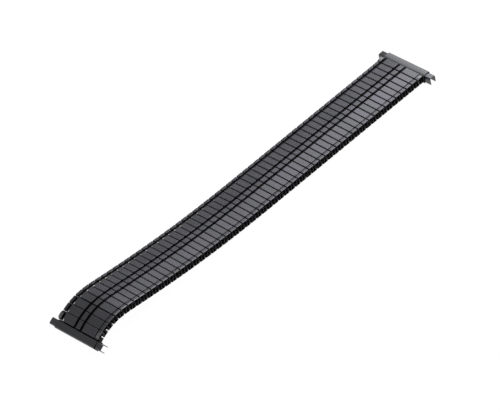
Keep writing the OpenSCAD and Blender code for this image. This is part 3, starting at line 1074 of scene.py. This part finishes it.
class BAND_OT_springs(bpy.types.Operator):
    """Gives the springs their bare steel and parts each coil spring into a near and a far half"""

    bl_idname = "watch_band.springs"
    bl_label = "Springs"

    def execute(self, context):
        for n in range(1, SEGMENTS + 1):
            for slot in frame["nodes"][f"leaf_springs_{n}"].material_slots:
                slot.material = spring_steel()
        for end, number in ENDS.items():
            node = f"{end}_coil"
            for side, way in SIDES.items():
                half = new_object(f"{end}_{side}_coil", coil_half(node, way))
                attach(half, f"segment_{number}")
                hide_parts(node)
                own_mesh(half)
        return {"FINISHED"}


# Stage

# The camera was fitted to the boundaries between the links in the photo
CAMERA_PLACE = Vector((-789.1, -1038.7, 1106.2)) * MM
CAMERA_RIGHT = Vector((0.6860, -0.7067, -0.1733))
CAMERA_UP = Vector((0.5625, 0.3640, 0.7423))
FOCAL_PX = 5633.9
PHOTO_W = 500
SENSOR = 36.0
NEAREST, FARTHEST = 0.01, 50
FADE = (0.12, 0.42)  # heights on the sky between which the light fades to the ceiling's
FLOOR_ROUGHNESS, FLOOR_SPECULAR = 0.9, 0.1


def soft_lamp(style):
    """A large square lamp that faces the middle of the band."""
    data = bpy.data.lights.new("soft lamp", "AREA")
    data.shape = "SQUARE"
    data.size = style.lamp_size
    data.energy = style.lamp
    lamp = new_object("soft lamp", data)
    lamp.location = style.lamp_place
    lamp.rotation_euler = (-Vector(style.lamp_place)).to_track_quat("-Z", "Y").to_euler()


def studio_world(style):
    """Even light that is white at the horizon and dimmer overhead."""
    world = bpy.data.worlds.new("studio")
    world.use_nodes = True
    tree = world.node_tree
    place = tree.nodes.new("ShaderNodeTexCoord").outputs["Generated"]
    axes = add_node(tree, "ShaderNodeSeparateXYZ", {"Vector": place})
    fade = map_range(tree, axes.outputs["Z"], *FADE, style.horizon, style.ceiling)
    fade.interpolation_type = "SMOOTHSTEP"
    background = tree.nodes["Background"]
    feed(tree, background.inputs["Color"], (1, 1, 1))
    feed(tree, background.inputs["Strength"], fade.outputs["Result"])
    return world


def floor_material(style):
    """Pale matt floor that keeps the shadow, and shows nearly white to the camera and in reflections."""
    material = bpy.data.materials.new("pale floor")
    material.use_nodes = True
    tree = material.node_tree
    shader = tree.nodes["Principled BSDF"]
    feed(tree, shader.inputs["Base Color"], style.floor)
    feed(tree, shader.inputs["Roughness"], FLOOR_ROUGHNESS)
    feed(tree, shader.inputs["Specular IOR Level"], FLOOR_SPECULAR)
    glow = add_node(tree, "ShaderNodeEmission", {"Color": (1, 1, 1), "Strength": style.glow})
    path = tree.nodes.new("ShaderNodeLightPath")
    seen = math_node(tree, "MAXIMUM", path.outputs["Is Camera Ray"], path.outputs["Is Glossy Ray"])
    seen = math_node(tree, "MAXIMUM", seen, path.outputs["Is Transmission Ray"])
    share = math_node(tree, "MULTIPLY", seen, style.backdrop)
    mix = tree.nodes.new("ShaderNodeMixShader")
    for socket, value in zip(mix.inputs, (share, shader.outputs[0], glow.outputs[0])):
        feed(tree, socket, value)
    feed(tree, tree.nodes["Material Output"].inputs["Surface"], mix.outputs[0])
    return material


class BAND_OT_stage(bpy.types.Operator):
    """Lays the floor, hangs the soft lights and sets the camera"""

    bl_idname = "watch_band.stage"
    bl_label = "Stage"

    def execute(self, context):
        style = settings().stage
        scene = context.scene
        mesh = bpy.data.meshes.new("floor")
        span = style.floor_span
        corners = [(-span, -span, 0), (span, -span, 0), (span, span, 0), (-span, span, 0)]
        mesh.from_pydata(corners, [], [(0, 1, 2, 3)])
        mesh.materials.append(floor_material(style))
        floor = new_object("floor", mesh)
        floor.location.z = CAD_BOX[0].z
        soft_lamp(style)
        scene.world = studio_world(style)
        back = CAMERA_RIGHT.cross(CAMERA_UP).normalized()
        right = CAMERA_UP.cross(back).normalized()
        turn = Matrix((right, back.cross(right), back)).transposed().to_4x4()
        data = bpy.data.cameras.new("camera")
        data.sensor_width = SENSOR
        data.lens = FOCAL_PX / PHOTO_W * SENSOR
        data.clip_start = NEAREST
        data.clip_end = FARTHEST
        camera = new_object("camera", data)
        camera.matrix_world = Matrix.Translation(CAMERA_PLACE) @ turn
        scene.camera = camera
        scene.view_settings.view_transform = "Standard"
        return {"FINISHED"}


OPERATORS = (
    BAND_OT_stage,
    BAND_OT_shells,
    BAND_OT_staples,
    BAND_OT_sleeves,
    BAND_OT_loops,
    BAND_OT_end_pieces,
    BAND_OT_springs,
)


class BAND_PT_panel(bpy.types.Panel):
    bl_idname = "BAND_PT_panel"
    bl_label = "Watch Band"
    bl_space_type = "VIEW_3D"
    bl_region_type = "UI"
    bl_category = "Watch Band"

    def draw(self, context):
        for operator in OPERATORS:
            self.layout.operator(operator.bl_idname)


CLASSES = (
    ShellSettings,
    StapleSettings,
    SleeveSettings,
    CoverSettings,
    LoopSettings,
    FinishSettings,
    StageSettings,
    BandSettings,
    *OPERATORS,
    BAND_PT_panel,
)


def register():
    for item in CLASSES:
        bpy.utils.register_class(item)
    bpy.types.Scene.watch_band = PointerProperty(type=BandSettings)


def unregister():
    del bpy.types.Scene.watch_band
    for item in reversed(CLASSES):
        bpy.utils.unregister_class(item)


def main():
    register()
    for operator in OPERATORS:
        group, name = operator.bl_idname.split(".")
        getattr(getattr(bpy.ops, group), name)()


if __name__ == "__main__":
    main()
